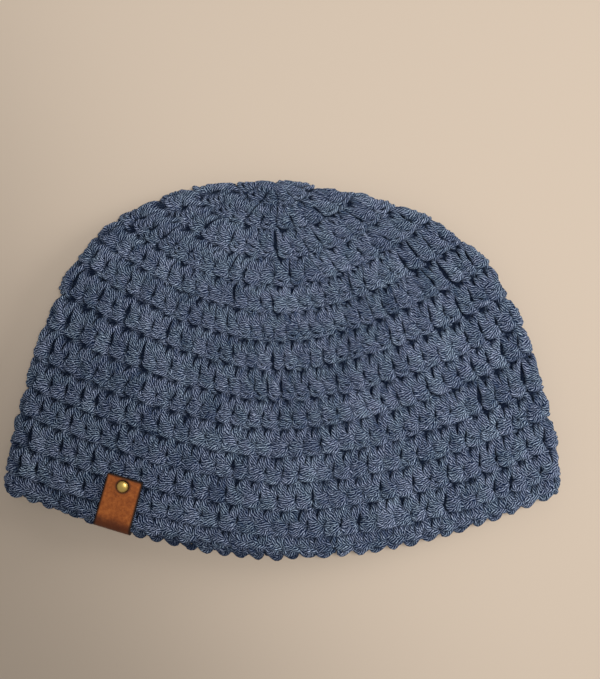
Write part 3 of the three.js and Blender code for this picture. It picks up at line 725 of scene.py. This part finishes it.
def tag_mesh(material):
    """A strip bent round the hem: sections along it, each a rounded rectangle across."""
    half_leaf = TAG_LEAF / 2
    ends = [0.0, 0.06, 0.18, 0.4, 0.7, 1.1]
    leaf = [half_leaf - t for t in ends] + list(np.linspace(half_leaf - 1.7, BEND_Y, 30))
    arc = np.linspace(math.pi / 2, 3 * math.pi / 2, 25)[1:-1]
    r_mid = BEND_R + TAG_THICK / 2
    line = [(y, LEAF_UNDER + TAG_THICK / 2, 0.0, 1.0, half_leaf - y) for y in leaf]
    line += [(BEND_Y + r_mid * math.cos(t), BEND_MID + r_mid * math.sin(t), math.cos(t), math.sin(t), 99.0) for t in arc]
    line += [(y, LEAF_INNER - TAG_THICK / 2, 0.0, -1.0, half_leaf - y) for y in leaf[::-1]]
    # the front leaf's faces: a unit rounded rectangle, u across and w through
    rad, flat = 0.28, 22
    xs = np.linspace(-1, 1, flat)
    verts, attrs = [], []
    for y, z, ny, nz, end in line:
        e = min(max(end, 0.0), 1.4)
        trim = TAG_CORNER - math.sqrt(max(TAG_CORNER**2 - (TAG_CORNER - min(e, TAG_CORNER)) ** 2, 0))
        thin = 0.28 - math.sqrt(max(0.28**2 - (0.28 - min(e, 0.28)) ** 2, 0)) if end < 50 else 0.0
        round_fold = max(0.0, -ny) if end > 50 else 0.0
        half = TAG_WIDTH / 2 - trim + 0.35 * round_fold - 0.12 * smoothstep(np.float64(y), BEND_Y, half_leaf)
        thick = TAG_THICK / 2 - thin
        ring = [(x * (half - rad), thick) for x in xs]
        ring += [(half - rad + rad * math.sin(a), thick - rad + rad * math.cos(a)) for a in (0.5, 1.05, math.pi / 2)]
        ring += [(half - rad + rad * math.sin(a), -(thick - rad) + rad * math.cos(a)) for a in (math.pi / 2, math.pi - 1.05, math.pi - 0.5)]
        ring += [(x * (half - rad), -thick) for x in xs[::-1]]
        ring += [(-(half - rad) - rad * math.sin(a), -(thick - rad) + rad * math.cos(a)) for a in (math.pi - 0.5, math.pi - 1.05, math.pi / 2)]
        ring += [(-(half - rad) - rad * math.sin(a), thick - rad + rad * math.cos(a)) for a in (math.pi / 2, 1.05, 0.5)]
        for x, w in ring:
            verts.append((x, y + ny * w, z + nz * w))
            side = max(0.0, thick - 0.12 - abs(w)) if abs(x) > half - rad * 0.7 else 0.0
            edge = min(half - abs(x), end if end < 50 else 99.0) - side
            near_fold = float(smoothstep(np.float64(BEND_Y + 5.5 - y), 0.0, 7.5)) if nz > -0.5 else 1.0
            attrs.append((edge, near_fold, math.hypot(x, y - RIVET_UP) if nz > 0.9 else 9.0))
    n = len(ring)
    verts = np.array(verts) @ TAG_AXES + TAG_ORIGIN
    idx = np.arange(len(verts)).reshape(-1, n)
    nxt = np.roll(idx, -1, 1)
    quads = np.stack([idx[:-1], nxt[:-1], nxt[1:], idx[1:]], -1).reshape(-1, 4)

    def cap(row, flip):
        """Quads across an end, from the front face's points to the back face's."""
        top = row[list(range(n - 3, n)) + list(range(flat)) + [flat, flat + 1, flat + 2]]
        low = row[[n - 4, n - 5, n - 6] + list(range(2 * flat + 5, flat + 5, -1)) + [flat + 5, flat + 4, flat + 3]]
        q = np.stack([top[:-1], top[1:], low[1:], low[:-1]], -1)
        return q[:, ::-1] if flip else q

    return build_mesh("tag_leaf", verts, [quads, cap(idx[0], False), cap(idx[-1], True)], material, {"leather": np.array(attrs)})


tag = tag_mesh(leather_material())
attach(tag, "root")
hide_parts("tag")


# ------------------------------------------------------------------ rivet
def brass_material():
    mat, nt, bsdf = new_material("rivet_brass")
    at = node(nt, "ShaderNodeAttribute", attribute_name="rim")
    tex = nt.nodes.new("ShaderNodeTexCoord")
    fine = node(nt, "ShaderNodeTexNoise", in_Scale=1500.0, in_Detail=4.0, in_Roughness=0.65)
    broad = node(nt, "ShaderNodeTexNoise", in_Scale=420.0, in_Detail=2.0)
    for n in (fine, broad):
        nt.links.new(tex.outputs["Object"], n.inputs["Vector"])
    f = total(nt, (at.outputs["Fac"], 1.0), (fine.outputs[0], 0.35), (broad.outputs[0], 0.25), -0.30)
    worn = span(nt, f, 0.55, 1.02)
    col = ramp(nt, worn, [(0.0, (0.93, 0.66, 0.20)), (0.45, (0.62, 0.40, 0.11)), (0.8, (0.14, 0.08, 0.03)), (1.0, (0.03, 0.017, 0.009))])
    nt.links.new(col, bsdf.inputs["Base Color"])
    bsdf.inputs["Metallic"].default_value = 1.0
    nt.links.new(total(nt, (worn, 0.25), (fine.outputs[0], 0.18), 0.26), bsdf.inputs["Roughness"])
    bump = node(nt, "ShaderNodeBump", in_Strength=0.25, in_Distance=0.00008)
    nt.links.new(fine.outputs[0], bump.inputs["Height"])
    nt.links.new(bump.outputs[0], bsdf.inputs["Normal"])
    return mat


def rivet_mesh(material):
    base = LEAF_UNDER + TAG_THICK - 0.04
    back = LEAF_INNER - TAG_THICK + 0.04
    dome = [(RIVET_CAP_R * math.sin(t), base + 0.34 + 1.3 * math.cos(t)) for t in np.linspace(0.0, math.pi / 2, 16)]
    profile = [(0.0001 if r < 1e-4 else r, h) for r, h in dome]
    profile += [(2.94, base + 0.22), (2.92, base + 0.1), (2.82, base), (2.5, base - 0.02), (RIVET_POST_R, base - 0.02)]
    profile += [(RIVET_POST_R, back + 0.02), (2.5, back + 0.02), (2.86, back), (2.98, back - 0.1), (3.0, back - 0.3), (2.8, back - 0.55), (2.2, back - 0.72), (1.2, back - 0.8), (0.0001, back - 0.82)]
    seg = 56
    t = 2 * math.pi * np.arange(seg) / seg
    p = np.array(profile)
    v = np.stack([p[:, :1] * np.cos(t), p[:, :1] * np.sin(t) + RIVET_UP, np.broadcast_to(p[:, 1:], (len(p), seg))], -1).reshape(-1, 3)
    rim = np.where(p[:, 1] >= base + 0.34 - 1e-6, p[:, 0] / RIVET_CAP_R * 0.94, 1.1)
    rim = np.repeat(rim, seg)
    idx = np.arange(len(v)).reshape(len(p), seg)
    nxt = np.roll(idx, -1, 1)
    quads = np.stack([idx[:-1], idx[1:], nxt[1:], nxt[:-1]], -1).reshape(-1, 4)
    return build_mesh("rivet_cap", v @ TAG_AXES + TAG_ORIGIN, [quads, idx[:1], idx[-1:, ::-1]], material, {"rim": rim})


rivet = rivet_mesh(brass_material())
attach(rivet, "root")
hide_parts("rivet")

# ------------------------------------------------------------------ floor, light
floor_mesh = bpy.data.meshes.new("floor")
floor_mesh.from_pydata([(-6, -6, 0), (6, -6, 0), (6, 6, 0), (-6, 6, 0)], [], [(0, 1, 2, 3)])
floor = bpy.data.objects.new("floor", floor_mesh)
scene.collection.objects.link(floor)
fmat, fnt, fb = new_material("floor")
fb.inputs["Base Color"].default_value = (0.75, 0.63, 0.515, 1)
fb.inputs["Roughness"].default_value = 0.9
floor_mesh.materials.append(fmat)

world = bpy.data.worlds.new("world")
scene.world = world
world.use_nodes = True
bg = world.node_tree.nodes["Background"]
bg.inputs[0].default_value = (1.0, 0.97, 0.93, 1)
bg.inputs[1].default_value = 0.30


def spot(name, loc, aim, cone, blend, radius, power, colour):
    """A soft pool of light, falling off smoothly to its edge."""
    data = bpy.data.lights.new(name, "SPOT")
    data.spot_size = cone
    data.spot_blend = blend
    data.shadow_soft_size = radius
    data.energy = power
    data.color = colour
    ob = bpy.data.objects.new(name, data)
    scene.collection.objects.link(ob)
    ob.location = loc
    d = np.array(loc) - np.array(aim)
    ob.rotation_euler = (math.atan2(math.hypot(d[0], d[1]), d[2]), 0, math.atan2(d[1], d[0]) + math.pi / 2)
    return ob


spot("key", (0.129, 0.055, 0.80), (1.50, 0.92, 0.0), 3.02, 0.24, 0.08, 12.8, (1.0, 0.97, 0.93))

side_data = bpy.data.lights.new("side", "AREA")
side_data.shape = "DISK"
side_data.size = 0.6
side_data.energy = 6.2
side_data.color = (1.0, 0.97, 0.93)
side = bpy.data.objects.new("side", side_data)
scene.collection.objects.link(side)
side.location = (1.25, 0.42, 0.50)
side.rotation_euler = (0, math.atan2(1.32, 0.50), math.atan2(0.42, 1.25))

scene.view_settings.view_transform = "Standard"
scene.view_settings.look = "None"

print("triangles", sum(TRIANGLES.values()), "most in a piece", max(TRIANGLES.values()))
